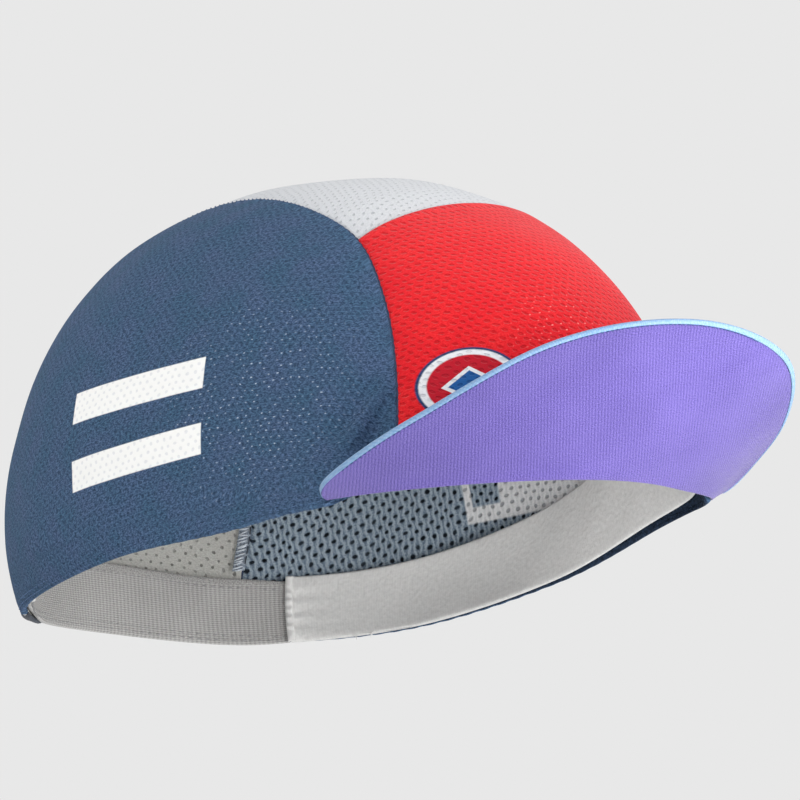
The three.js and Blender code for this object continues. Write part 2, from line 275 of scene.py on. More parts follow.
def lift(angle):
    """Height of the wall's lower edge above the rim."""
    hand_step = rim_step_under(direction_at(angle, np.zeros_like(np.asarray(angle, float))))
    step = np.abs(hand_step)
    fall = eased((step - LIFT_FALLS_FROM) / (LIFT_END_STEP - LIFT_FALLS_FROM))
    front = along(LIFT, np.minimum(step, PEAK_CORNER_STEP))[..., 0]
    drop = CORNER_DROP * np.exp(-((hand_step - DROP_AT) / DROP_OVER) ** 2)
    return front * (1 - fall) - drop * fall


def strip_direction(turn, share):
    """Direction on the middle strip, whose turn runs over the head and share from seam to seam."""
    turn, share = np.broadcast_arrays(np.asarray(turn, float), share)
    held = np.clip(turn, 0, 180)
    x, y = share * along(SEAM, held)[..., 0], -np.cos(np.radians(held))
    over = unit(np.stack([x, y, np.sin(np.radians(held))], -1))
    down = direction_at(np.degrees(np.arctan2(x, -y)), np.where(turn < 0, turn, 180 - turn))
    return np.where(((turn < 0) | (turn > 180))[..., None], down, over)


def seam_share(turn):
    """Half the gap of a side seam, as a share of the strip's half width."""
    return HALF_SEAM_GAP / (HALF_WIDTH * along(SEAM, np.clip(turn, 0, 180))[..., 0])


def wave(points, length, seed):
    """Soft random waves of about a length, from -1 to 1, for cloth that isn't perfectly even."""
    chance = np.random.default_rng(seed)
    sum_of_waves = 0
    for _ in range(7):
        way = unit(chance.normal(size=3)) * 2 * np.pi / (length * chance.uniform(0.7, 1.5))
        sum_of_waves = sum_of_waves + np.sin(points @ way + chance.uniform(0, 2 * np.pi))
    return sum_of_waves / 4


def distance_along(grid, axis):
    """Millimetres along each line of a grid from its start."""
    steps = np.linalg.norm(np.diff(grid, axis=axis), axis=-1)
    return np.cumsum(np.concatenate([np.zeros_like(np.take(steps, [0], axis)), steps], axis), axis)


def even_with_fine_ends(count, length, wall):
    """Shares from 0 to 1, close together at both ends where an edge is rounded."""
    near = np.array([0, 0.06, 0.2, 0.45, 0.9]) * wall / length
    return np.concatenate([near, np.linspace(2 * wall / length, 1 - 2 * wall / length, count),
                           1 - near[::-1]])


def edge_roll(distance, wall):
    """How far a face draws in towards the middle of the cloth beside its folded edge."""
    nearness = 1 - np.clip(distance / (wall / 2), 0, 1)
    return wall / 2 * (1 - np.sqrt(1 - nearness**2)) * 0.92


def laid_flat(grid, grain=0.0, strip=False):
    """Flat pattern of a curved grid in millimetres, its lengths kept as well as knit can,
    turned by the grain in degrees. Worked out on some of the grid's lines."""
    columns, rows = grid.shape[:2]
    some = np.linspace(0, columns - 1, 37).round().astype(int)
    few = np.linspace(0, rows - 1, 17).round().astype(int)
    coarse = grid[some][:, few]
    faces = np.cross(coarse[1:, :-1] - coarse[:-1, :-1], coarse[:-1, 1:] - coarse[:-1, :-1])
    facing = unit(faces.reshape(-1, 3).sum(0))
    hem = coarse[-1, -1] - coarse[0, -1]
    across = unit(hem - facing * (hem @ facing))
    flat = np.stack([coarse @ across, coarse @ np.cross(facing, across)], -1)
    if strip:
        over, down = distance_along(coarse, 0), distance_along(coarse, 1)
        flat = np.stack([over - over[18:19], -down[18:19] + 0 * over], -1)
    ways = [(1, 0), (0, 1), (1, 1), (1, -1)]
    for _ in range(1600):
        move, count = np.zeros_like(flat), np.zeros(flat.shape[:2])
        for a, b in ways:
            start = (slice(0, len(some) - a), slice(max(-b, 0), len(few) - max(b, 0)))
            end = (slice(a, len(some)), slice(max(b, 0), len(few) + min(b, 0)))
            gap = flat[end] - flat[start]
            length = np.linalg.norm(gap, axis=-1, keepdims=True) + 1e-9
            real = np.linalg.norm(coarse[end] - coarse[start], axis=-1, keepdims=True)
            shift = gap * (length - real) / length / 2
            move[start] += shift
            move[end] -= shift
            count[start] += 1
            count[end] += 1
        flat += 1.4 * move / count[..., None]
    turn = np.radians(grain)
    flat = flat @ np.array([[np.cos(turn), np.sin(turn)], [-np.sin(turn), np.cos(turn)]])
    fine = []
    for k in (0, 1):
        lines = np.array([np.interp(np.arange(columns), some, line) for line in flat[..., k].T]).T
        fine.append([np.interp(np.arange(rows), few, line) for line in lines])
    return np.moveaxis(np.array(fine), 0, -1)


def sewn_cloth(name, outside, inside, flat, finishes, turned_in=False):
    """Closed shell of cloth between two grids of points in millimetres. The UV map holds the
    cloth's flat pattern in millimetres. Finishes are the outside's, the inside's, and that of
    the part which is turned in, whose place in the grid turned_in gives."""
    columns, rows = outside.shape[:2]
    number = np.arange(columns * rows).reshape(columns, rows)
    a, b, c, d = number[:-1, :-1], number[1:, :-1], number[1:, 1:], number[:-1, 1:]
    under = columns * rows
    front = np.stack([a, b, c, d], -1).reshape(-1, 4)
    rear = np.stack([a, d, c, b], -1).reshape(-1, 4) + under
    start = np.concatenate([number[:-1, 0], number[-1, :-1], number[1:, -1][::-1],
                            number[0, 1:][::-1]])
    end = np.concatenate([number[1:, 0], number[-1, 1:], number[:-1, -1][::-1],
                          number[0, :-1][::-1]])
    edge = np.stack([start, start + under, end + under, end], -1)
    faces = np.concatenate([front, rear, edge])
    points = np.concatenate([outside.reshape(-1, 3), inside.reshape(-1, 3)])
    corners = points[faces]
    if np.sum(corners[:, 0] * np.cross(corners[:, 1], corners[:, 2])
              + corners[:, 0] * np.cross(corners[:, 2], corners[:, 3])) < 0:
        faces = faces[:, ::-1]
    rear_kind = np.broadcast_to(np.where(turned_in, 2, min(1, len(finishes) - 1)), a.shape)
    kinds = np.concatenate([np.zeros(len(front)), rear_kind.ravel(), np.zeros(len(edge))])
    mesh = bpy.data.meshes.new(name)
    mesh.from_pydata(points / 1000, [], faces)
    mesh.uv_layers.new(name="flat_pattern").data.foreach_set(
        "uv", np.concatenate([flat.reshape(-1, 2)] * 2)[faces].ravel())
    for finish in finishes:
        mesh.materials.append(finish)
    mesh.polygons.foreach_set("material_index", kinds.astype(int))
    mesh.polygons.foreach_set("use_smooth", np.ones(len(faces), bool))
    piece = bpy.data.objects.new(name, mesh)
    scene.collection.objects.link(piece)
    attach(piece, "root")
    return piece


def threads(name, starts, ends, ways, bow, thick, finish, sides=6):
    """Short bowed lengths of thread from start to end points in millimetres, raised by the bow
    along the ways and sunk a little into the cloth at both ends."""
    starts, ends = np.asarray(starts, float), np.asarray(ends, float)
    ways = unit(np.broadcast_to(ways, starts.shape))
    t = np.linspace(0, 1, 7)[None, :, None]
    rise = np.sin(np.pi * t) ** 0.6 * (np.reshape(bow, (-1, 1, 1)) + 0.25) - 0.25
    middle = starts[:, None] + (ends - starts)[:, None] * t + ways[:, None] * rise
    forward = unit(ends - starts)[:, None]
    out = unit(ways[:, None] - forward * np.sum(ways[:, None] * forward, -1, keepdims=True))
    aside = np.cross(forward, out)
    turn = np.linspace(0, 2 * np.pi, sides, False)
    radius = thick / 2 * np.array([0.55, 0.9, 1, 1, 1, 0.9, 0.55])[None, :, None, None]
    round_it = (out[:, :, None] * np.cos(turn)[None, None, :, None]
                + aside[:, :, None] * np.sin(turn)[None, None, :, None])
    points = middle[:, :, None] + radius * round_it
    count = len(starts)
    number = np.arange(count * 7 * sides).reshape(count, 7, sides)
    onward = np.roll(number, -1, 2)
    faces = np.stack([number[:, :-1], onward[:, :-1], onward[:, 1:], number[:, 1:]],
                     -1).reshape(-1, 4).tolist()
    faces += number[:, 0, ::-1].tolist() + number[:, -1].tolist()
    mesh = bpy.data.meshes.new(name)
    mesh.from_pydata(points.reshape(-1, 3) / 1000, [], faces)
    mesh.materials.append(finish)
    mesh.polygons.foreach_set("use_smooth", np.ones(len(faces), bool))
    piece = bpy.data.objects.new(name, mesh)
    scene.collection.objects.link(piece)
    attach(piece, "root")
    return piece


def evenly(path, pitch):
    """Points along a path at a pitch in millimetres."""
    reach = np.concatenate([[0], np.cumsum(np.linalg.norm(np.diff(path, axis=0), axis=1))])
    at = np.arange(pitch / 2, reach[-1], pitch)
    return np.stack([np.interp(at, reach, path[:, k]) for k in range(path.shape[1])], -1)


def stitched(name, path, ways, length, pitch, thick, finish):
    """A row of stitches along a path on cloth that faces the ways."""
    laid = evenly(np.concatenate([path, ways], 1), pitch)
    forward = unit(np.gradient(laid[:, :3], axis=0))
    half = forward * length / 2
    return threads(name, laid[:, :3] - half, laid[:, :3] + half, laid[:, 3:], thick * 0.35, thick,
                   finish)


# Side panels: knitted polyester mesh in navy, each a D cut from one layer. Its hem is turned in
# and sewn down with two rows of stitches. The right panel has two stripes of white film pressed
# on, and the left one a plain white block with a navy bar, dyed through so that it shows inside.
WALL = 1.3
HEM_TURNED_IN, HEM_EXTRA, HEM_ROWS = 7.0, 0.3, (0.9, 2.0)
PUCKER_PITCH, PUCKER_DEPTH = 7.3, 0.14
front_angle = np.degrees(np.arctan2(SEAM[0][1], 1.0))
back_angle = np.degrees(np.arctan2(SEAM[-1][1], -1.0))
front_foot = direction_above(np.array(front_angle), lift(front_angle))
FRONT_TURN = np.degrees(np.arctan2(front_foot[2], np.hypot(front_foot[0], front_foot[1])))
BACK_TURN = 180 + np.degrees(np.arctan(RIM_SLOPE))
# A soft fold runs down beside the seam to the corner of the peak on the right: the top and foot
# of each of its lines, how far that sinks in, and its half width
FOLDS = [((-50.2, -64.4, 32.5), (-56.3, -59.9, 24.8), 1.8, 2.2),
         ((-49.2, -65.5, 30.9), (-56.2, -61.7, 20.9), -1.3, 1.9),
         ((-48.2, -66.9, 29.0), (-54.0, -65.0, 19.5), 3.0, 2.2)]
# Behind, the right side lies a little flatter than the form
FLATTER_AT, FLATTER_OVER, FLATTER_BY = (-55.0, 55.0, 40.0), 36.0, 0.7


def hem_thickness(from_hem):
    """Thickness of the cloth, more where the hem is turned in."""
    return WALL + HEM_EXTRA * eased((HEM_TURNED_IN + 0.6 - from_hem) / 1.2)


def seam_pucker(run, off, points, seed):
    """Depth of the small gathers beside a seam, by the mm along it and off it."""
    gathers = np.sin(run * 2 * np.pi / PUCKER_PITCH + 2 * wave(points, 40, seed))
    return PUCKER_DEPTH * gathers * np.exp(-off / 3.5) * np.clip(off, 0, 1)


def side_panel(side, seed):
    """Outside, inside and flat pattern of a side panel from the seam down to the hem, and which
    part of its grid takes the turned-in finish: the hem, and the front of the inside too."""
    u = even_with_fine_ends(230, 330, WALL)[:, None]
    v = even_with_fine_ends(84, 110, WALL)[None, :]
    turn = FRONT_TURN + (BACK_TURN - FRONT_TURN) * u
    top = strip_direction(turn, side * (1 + seam_share(turn)))
    low = front_angle + 1.5 + (back_angle - front_angle - 3) * u
    foot = direction_above(side * low, lift(low))
    direction = unit(top + (foot - top) * v[..., None])
    plain = crown(direction)
    from_seam = np.linalg.norm(plain - crown(top), axis=-1)
    depth = SIDE_DIP * np.exp(-from_seam / SEAM_WIDTH)
    depth = depth + SIDE_FRONT_DIP * np.exp(-from_seam / SEAM_WIDTH) * front_share(turn)
    depth = depth * dip_share(plain)
    if side < 0:
        for start, foot_end, sink, wide in FOLDS:
            way = np.subtract(foot_end, start)
            t = np.clip((plain - start) @ way / (way @ way), 0, 1.2)[..., None]
            off = np.linalg.norm(plain - start - way * t, axis=-1)
            depth = depth + sink * np.exp(-(off / wide) ** 2)
        off = np.linalg.norm(plain - FLATTER_AT, axis=-1)
        depth = depth + FLATTER_BY * np.exp(-(off / FLATTER_OVER) ** 2)
    down, across = distance_along(plain, 1), distance_along(plain, 0)
    hem = down[:, -1:] - down
    fade = np.clip(from_seam / 12, 0, 1) * np.clip(hem / 6, 0, 1)
    depth = depth - 0.45 * fade * wave(plain, 38, seed) - 0.12 * fade * wave(plain, 15, seed + 1)
    depth = depth + seam_pucker(across, from_seam, plain, seed + 2)
    # The two rows of stitches pull the hem in, and it waves a little between them
    depth = depth + 0.16 * np.exp(-((hem - 2.4) / 0.8) ** 2)
    depth = depth - 0.12 * np.sin(across * 2 * np.pi / 5.1 + wave(plain, 30, seed + 3)) * np.exp(
        -hem / 5) * np.clip(across / 8, 0, 1) * np.clip((across[-1:] - across) / 8, 0, 1)
    thick = hem_thickness(hem)
    edge = np.minimum(np.minimum(down, hem), np.minimum(across, across[-1:] - across))
    roll = edge_roll(edge, thick)
    outside, inside = pressed(direction, depth + roll), pressed(direction, depth + thick - roll)
    # The inside before 75 degrees from the front is not turned in but takes the same finish; on the
    # left panel that finish is painted shade
    turned_in = ((hem < HEM_TURNED_IN) | (low + 0 * hem < 75))[:-1, :-1]
    return outside, inside, laid_flat(plain, grain=8 * side), turned_in


def knit_holes(tree, place, wale, course, hole, slant=0.0, uneven_by=0.35):
    """Holes of a knitted mesh in staggered rows, at wale and course mm apart. Gives how much of a
    point is hole, a chance value for each hole, and the place in its cell."""
    bent = add_node(tree, "TexNoise", {"Vector": place, "Scale": 0.12, "Detail": 1.0})[1]
    place = add_node(tree, "VectorMath", {0: bent, 1: (2.2, 2.2, 0), 2: place},
                     operation="MULTIPLY_ADD")[0]
    uneven = add_node(tree, "TexNoise", {"Vector": place, "Scale": 0.9, "Detail": 2.0})[1]
    place = add_node(tree, "VectorMath", {0: uneven, 1: (uneven_by, uneven_by, 0), 2: place},
                     operation="MULTIPLY_ADD")[0]
    cells = add_node(tree, "VectorMath", {0: place, 1: (1 / wale, 1 / course, 0)},
                     operation="MULTIPLY")[0]
    split = add_node(tree, "SeparateXYZ", {0: cells})
    row = add_node(tree, "Math", {0: split[1]}, operation="FLOOR")[0]
    half = add_node(tree, "Math", {0: row, 1: 2.0}, operation="FLOORED_MODULO")[0]
    shifted = add_node(tree, "Math", {0: half, 1: 0.5, 2: split[0]}, operation="MULTIPLY_ADD")[0]
    cell = add_node(tree, "CombineXYZ", {0: shifted, 1: split[1]})[0]
    inside = add_node(tree, "VectorMath", {0: cell}, operation="FRACTION")[0]
    inside = add_node(tree, "VectorMath", {0: inside, 1: (0.5, 0.5, 0)}, operation="SUBTRACT")[0]
    parts = add_node(tree, "SeparateXYZ", {0: inside})
    leaning = add_node(tree, "Math", {0: parts[1], 1: -slant, 2: parts[0]},
                       operation="MULTIPLY_ADD")[0]
    width = add_node(tree, "CombineXYZ", {0: leaning, 1: parts[1]})[0]
    width = add_node(tree, "VectorMath",
                     {0: width, 1: (2 * wale / hole[0], 2 * course / hole[1], 0)},
                     operation="MULTIPLY")[0]
    reach = add_node(tree, "VectorMath", {0: width}, operation="LENGTH")[1]
    open_share = add_node(tree, "MapRange", {0: reach, 1: 1.3, 2: 0.65, 3: 0.0, 4: 1.0},
                          interpolation_type="SMOOTHSTEP")[0]
    which = add_node(tree, "VectorMath", {0: cell}, operation="FLOOR")[0]
    chance = add_node(tree, "TexWhiteNoise", {"Vector": which}, noise_dimensions="3D")[0]
    return open_share, chance, inside


def polyester_mesh(name, yarn, groove, hole_tone, drift=None, wale=2.15, course=1.65,
                   hole=(0.95, 0.85), slant=0.0, hole_share=0.45, relief=0.3, grain=2.6, strand=0.0,
                   painted_glints=None, dyed=None, film=None, sheen=0.0):
    """Warp-knitted polyester: matt with a soft sheen, spun of bright filament, in a fine mesh.
    Its loops are far finer than a pixel, so they are drawn as mottling of about 0.7 mm. Around a
    place in mm, pale spots beside the holes are a painted highlight that fades away from there."""
    made, tree = new_finish(name)
    place = add_node(tree, "UVMap", uv_map="flat_pattern")[0]
    body = add_node(tree, "TexCoord")[3]
    open_share, chance, in_cell = knit_holes(tree, place, wale, course, hole, slant,
                                             0.15 if strand else 0.35)
    drawn_out = add_node(tree, "VectorMath", {0: place, 1: (1.0 if strand else 0.6, 1.0, 0)},
                         operation="MULTIPLY")[0]
    loops = add_node(tree, "TexNoise", {"Vector": drawn_out, "Scale": grain, "Detail": 2.0,
                                        "Roughness": 0.7})[0]
    if strand:
        # On the reverse the yarns are plain to see: two a wale, bent round the holes
        parts = add_node(tree, "SeparateXYZ", {0: in_cell})
        aside = add_node(tree, "Math", {0: parts[0]}, operation="ABSOLUTE")[0]
        rise = add_node(tree, "Math", {0: parts[1], 1: np.pi}, operation="MULTIPLY")[0]
        rise = add_node(tree, "Math", {0: rise}, operation="COSINE")[0]
        aside = add_node(tree, "Math", {0: rise, 1: -0.06, 2: aside},
                         operation="MULTIPLY_ADD")[0]
        turn = add_node(tree, "Math", {0: aside, 1: 4 * np.pi, 2: np.pi},
                        operation="MULTIPLY_ADD")[0]
        ridge = add_node(tree, "Math", {0: turn}, operation="COSINE")[0]
        loops = add_node(tree, "Math", {0: ridge, 1: strand, 2: loops},
                         operation="MULTIPLY_ADD")[0]
    contrast = add_node(tree, "MapRange", {0: loops, 1: 0.38, 2: 0.62, 3: 0.0, 4: 1.0})[0]
    light = linear(yarn)
    if drift:
        far = add_node(tree, "TexNoise", {"Vector": place, "Scale": 0.11, "Detail": 3.0})[0]
        share = add_node(tree, "MapRange", {0: far, 1: 0.35, 2: 0.65, 3: 0.0, 4: 1.0})[0]
        light = add_node(tree, "Mix", {0: share, 6: light, 7: linear(drift)},
                         data_type="RGBA")[2]
    colour = add_node(tree, "Mix", {0: contrast, 6: linear(groove), 7: light},
                      data_type="RGBA")[2]
    hole_colour = linear(hole_tone)
    if dyed:
        colour, hole_colour = dyed(tree, body, colour, hole_colour, contrast)
    strength = add_node(tree, "MapRange", {0: chance, 1: 0.0, 2: 1.0, 4: hole_share,
                                           3: hole_share * (0.85 if strand else 0.5)})[0]
    amount = add_node(tree, "Math", {0: open_share, 1: strength}, operation="MULTIPLY")[0]
    colour = add_node(tree, "Mix", {0: amount, 6: colour, 7: hole_colour}, data_type="RGBA")[2]
    # Painted highlight: pale spots beside some holes, near a place on the cap, stand in for light
    # glinting in the filament
    if painted_glints:
        centre, radius, tone = painted_glints
        away = add_node(tree, "VectorMath", {0: body, 1: [c / 1000 for c in centre]},
                        operation="DISTANCE")[1]
        near = add_node(tree, "MapRange", {0: away, 1: radius / 1000, 2: radius / 3000, 3: 0.0,
                                           4: 1.0}, interpolation_type="SMOOTHSTEP")[0]
        beside = add_node(tree, "VectorMath", {0: in_cell, 1: (-0.42, 0.3, 0)},
                          operation="ADD")[0]
        spot = add_node(tree, "VectorMath", {0: beside, 1: (wale / 0.65, course / 0.32, 0)},
                        operation="MULTIPLY")[0]
        reach = add_node(tree, "VectorMath", {0: spot}, operation="LENGTH")[1]
        spot = add_node(tree, "MapRange", {0: reach, 1: 0.62, 2: 0.3, 3: 0.0, 4: 1.0})[0]
        bright = add_node(tree, "MapRange", {0: chance, 1: 0.2, 2: 0.9, 3: 0.0, 4: 1.0})[0]
        shine = add_node(tree, "Math", {0: spot, 1: bright}, operation="MULTIPLY")[0]
        shine = add_node(tree, "Math", {0: shine, 1: near}, operation="MULTIPLY")[0]
        colour = add_node(tree, "Mix", {0: shine, 6: colour, 7: linear(tone)},
                          data_type="RGBA")[2]
    height = add_node(tree, "Math", {0: open_share, 1: -1.2, 2: loops},
                      operation="MULTIPLY_ADD")[0]
    if film:
        colour, height = film(tree, body, colour, height)
    relief_normal = add_node(tree, "Bump", {"Height": height, "Strength": 0.8,
                                            "Distance": relief / 1000})[0]
    shader = add_node(tree, "BsdfPrincipled", {
        "Base Color": colour, "Roughness": 0.9, "Diffuse Roughness": 0.3,
        "Sheen Weight": sheen, "Sheen Roughness": 0.5, "Normal": relief_normal,
        "Specular IOR Level": 0.12})
    add_node(tree, "OutputMaterial", {"Surface": shader[0]})
    return made


def on_bar(tree, body, middle, half, slope=0.0, blur=0.2):
    """Share of a point that is on a bar on the side of the cap. The middle and half size are y
    and z in mm, the slope is how much the bar rises backwards."""
    split = add_node(tree, "SeparateXYZ", {0: body})
    back_by = add_node(tree, "Math", {0: split[1], 1: middle[0] / 1000}, operation="SUBTRACT")[0]
    rise = add_node(tree, "Math", {0: split[2], 1: middle[1] / 1000}, operation="SUBTRACT")[0]
    rise = add_node(tree, "Math", {0: back_by, 1: -slope, 2: rise}, operation="MULTIPLY_ADD")[0]
    shares = []
    for way, reach in ((back_by, half[0]), (rise, half[1])):
        off = add_node(tree, "Math", {0: way}, operation="ABSOLUTE")[0]
        shares.append(add_node(tree, "MapRange", {0: off, 1: (reach + blur / 2) / 1000,
                                                  2: (reach - blur / 2) / 1000, 3: 0.0,
                                                  4: 1.0})[0])
    return add_node(tree, "Math", {0: shares[0], 1: shares[1]}, operation="MULTIPLY")[0]


# Stripes in mm on the side of the cap: middle y and z, and their slope. Both are 44 by 7.5.
STRIPES = [(-2.1, 41.9, -0.035), (-2.6, 25.5, -0.05)]
STRIPE_HALF = (22.1, 3.8)


def stripe_film(tree, body, colour, height):
    """Heat-pressed film: white, smooth, with the mesh just showing through it."""
    first, second = (on_bar(tree, body, (y, z), STRIPE_HALF, slope) for y, z, slope in STRIPES)
    covered = add_node(tree, "Math", {0: first, 1: second}, operation="MAXIMUM")[0]
    # The film is greyer where the mesh under it lies lower, over its holes and dips
    film_raised_share = add_node(tree, "MapRange", {0: height, 1: -0.9, 2: 0.2, 3: 0.0, 4: 1.0})[0]
    white = add_node(tree, "Mix", {0: film_raised_share, 6: linear("e6e7e9"), 7: linear("f8f8f6")},
                     data_type="RGBA")[2]
    film = add_node(tree, "Mix", {0: covered, 6: colour, 7: white}, data_type="RGBA")[2]
    flat = add_node(tree, "Math", {0: height, 1: 0.25}, operation="MULTIPLY")[0]
    smooth = add_node(tree, "Mix", {0: covered, 2: height, 3: flat}, data_type="FLOAT")[0]
    return film, smooth


# The block on the left side and the bar in it, in mm: middle y and z, then half size
BLOCK, BAR = ((1.0, 28.0), (27.0, 13.0)), ((21.7, 28.0), (4.2, 9.0))


def white_block(tree, body, colour, hole_colour, contrast, light="e4e5e7", shade="d2d4d8"):
    """White block with an upright navy bar, dyed into the mesh before it was cut."""
    block = on_bar(tree, body, *BLOCK, blur=0.5)
    bar = on_bar(tree, body, *BAR, blur=0.5)
    bare = add_node(tree, "Math", {0: 1.0, 1: bar}, operation="SUBTRACT")[0]
    share = add_node(tree, "Math", {0: block, 1: bare}, operation="MULTIPLY")[0]
    white = add_node(tree, "Mix", {0: contrast, 6: linear(shade), 7: linear(light)},
                     data_type="RGBA")[2]
    colour = add_node(tree, "Mix", {0: share, 6: colour, 7: white}, data_type="RGBA")[2]
    hole = add_node(tree, "Mix", {0: share, 6: hole_colour, 7: linear("a4a7aa")},
                    data_type="RGBA")[2]
    return colour, hole


def white_block_reverse(tree, body, colour, hole_colour, contrast):
    return white_block(tree, body, colour, hole_colour, contrast, "eceded", "dadcdd")


REVERSE = dict(wale=3.0, course=1.85, hole=(1.2, 0.9), slant=0.2, hole_share=1.0, relief=0.5,
               strand=0.11, grain=3.0)
navy_reverse = polyester_mesh("navy polyester mesh, reverse", "aab8c2", "66788a", "060a10",
                              **REVERSE)
block_reverse = polyester_mesh("navy and white polyester mesh, reverse", "aab8c2", "66788a",
                               "0c1218", dyed=white_block_reverse, **REVERSE)
NAVY = ("5c7296", "324660", "26374e")
NAVY_DRIFT = "4e708e"
# A darker copy of the navy mesh, painted shade on the left panel's inside along the hem and at the
# front
navy_hem_painted_shade = polyester_mesh("navy polyester mesh, turned in, darkened as painted shade", "2c3a50", "1c2836", "101820")
# The right panel's mesh carries a painted highlight: pale glints in the holes around (-62, -38, 34)
# mm
striped_mesh = polyester_mesh("navy polyester mesh with white film stripes", *NAVY,
                              drift=NAVY_DRIFT, film=stripe_film,
                              painted_glints=((-62, -38, 34), 34, "b4c2d4"))
block_mesh = polyester_mesh("navy polyester mesh with white block", *NAVY, drift=NAVY_DRIFT,
                            dyed=white_block)


def thread_finish(name, tone, shade):
    """Spun polyester thread, twisted and slightly shiny."""
    made, tree = new_finish(name)
    body = add_node(tree, "TexCoord")[3]
    fleck = add_node(tree, "TexNoise", {"Vector": body, "Scale": 2500.0, "Detail": 2.0})[0]
    colour = add_node(tree, "Mix", {0: fleck, 6: linear(shade), 7: linear(tone)},
                      data_type="RGBA")[2]
    shader = add_node(tree, "BsdfPrincipled", {"Base Color": colour, "Roughness": 0.55})
    add_node(tree, "OutputMaterial", {"Surface": shader[0]})
    return made


def hem_line(side, height, steps=260):
    """Path along a side panel's hem at a height above it, with the way that the cloth faces."""
    low = np.linspace(front_angle + 4, back_angle - 3, steps)
    direction = direction_above(side * low, lift(low) + height)
    out = unit(crown(direction) - pressed(direction, 1 + 0 * low))
    return pressed(direction, 0.12 + 0 * low), out


def seam_line(side, start, end, aside, sunk, deeper=0.0, steps=260):
    """Path beside a side seam, at some mm towards the side panel. Sunk are the cloth's dip there
    and what it dips more in front."""
    turn = np.linspace(start, end, steps)
    direction = strip_direction(turn, side * (1 + seam_share(turn) * (1 + aside / HALF_SEAM_GAP)))
    out = unit(crown(direction) - pressed(direction, 1 + 0 * turn))
    depth = (sunk[0] + sunk[1] * front_share(turn)) * dip_share(crown(direction)) + deeper
    return pressed(direction, depth), out


light_thread = thread_finish("light blue thread", "5a7ba4", "3e5a80")
navy_thread = thread_finish("navy thread", "5a7092", "34486a")

front_up = direction_above(np.array(front_angle), np.array(22.0))
back_up = direction_above(np.array(back_angle), np.array(18.5))
ALLOWANCE_FROM = np.degrees(np.arctan2(front_up[2], -front_up[1]))
ALLOWANCE_TO = np.degrees(np.arctan2(back_up[2], -back_up[1]))
ALLOWANCE, ALLOWANCE_THICK = 3.6, 0.8


def seam_allowance(name, direction_of, long, columns=170):
    """Overlocked allowance of a seam, pressed flat inside the cap, with the loops of thread round
    its cut edge and the line of the seam. direction_of gives the way to a point at a share along
    the seam and at some mm from it."""
    def sunk_by(off, share):
        off, in_front = np.maximum(off, 0), np.clip(1 - share / 0.25, 0, 1)
        front = in_front * FRONT_DIP * np.exp(-off / FRONT_DIP_WIDTH)
        return STRIP_DIP * np.exp(-off / SEAM_WIDTH) + front + WALL + 0.12

    v = even_with_fine_ends(6, ALLOWANCE, ALLOWANCE_THICK)[None, :]
    u = even_with_fine_ends(columns, long, ALLOWANCE_THICK)[:, None]
    from_seam = ALLOWANCE * v - 0.45 + 0 * u
    direction = direction_of(u, from_seam)
    plain = crown(direction)
    across, over = distance_along(plain, 1), distance_along(plain, 0)
    depth = sunk_by(from_seam, u) + 0.15 * (1 + wave(plain, 14, 71)) * v
    roll = edge_roll(np.minimum(np.minimum(across, across[:, -1:] - across),
                                np.minimum(over, over[-1:] - over)), ALLOWANCE_THICK)
    outside = pressed(direction, depth + roll)
    inside = pressed(direction, depth + ALLOWANCE_THICK - roll)
    strip = sewn_cloth(name, outside, inside, np.stack([over, across], -1), [cut_cloth])
    chance = np.random.default_rng(len(name))
    count = round(long / 1.05)
    at = (np.arange(count) + chance.uniform(0.2, 0.8, count)) / count

    def on_strip(share, off):
        way = direction_of(np.clip(share, 0, 1)[:, None], off[:, None])[:, 0]
        sunk = pressed(way, sunk_by(off, share) + ALLOWANCE_THICK + 0.2)
        return sunk, unit(sunk - pressed(way, 0 * off))
    starts, ways = on_strip(at, chance.uniform(0.2, 0.6, count))
    ends, _ = on_strip(at + chance.normal(0.9, 0.35, count) / long,
                       ALLOWANCE - 0.5 + chance.normal(0, 0.3, count))
    loops = threads(name + "_loops", starts, ends, ways, chance.uniform(0.15, 0.4, count),
                    0.42, loop_thread)
    line, ways = on_strip(np.linspace(0.004, 0.996, 260), np.full(260, -0.2))
    seam = stitched(name + "_line", line, ways, 2.1, 2.5, 0.4, dark_thread)
    return [strip, loops, seam]


cut_cloth = polyester_mesh("cut edge of the mesh", "b0bac4", "7c8896", "3c4654", grain=3.0)
loop_thread = thread_finish("overlock thread", "e0e6ec", "aab4c0")
seam_cord = thread_finish("deep navy thread", "2c3e5e", "1c2a44")
dark_thread = thread_finish("dark navy thread", "444c58", "20262f")
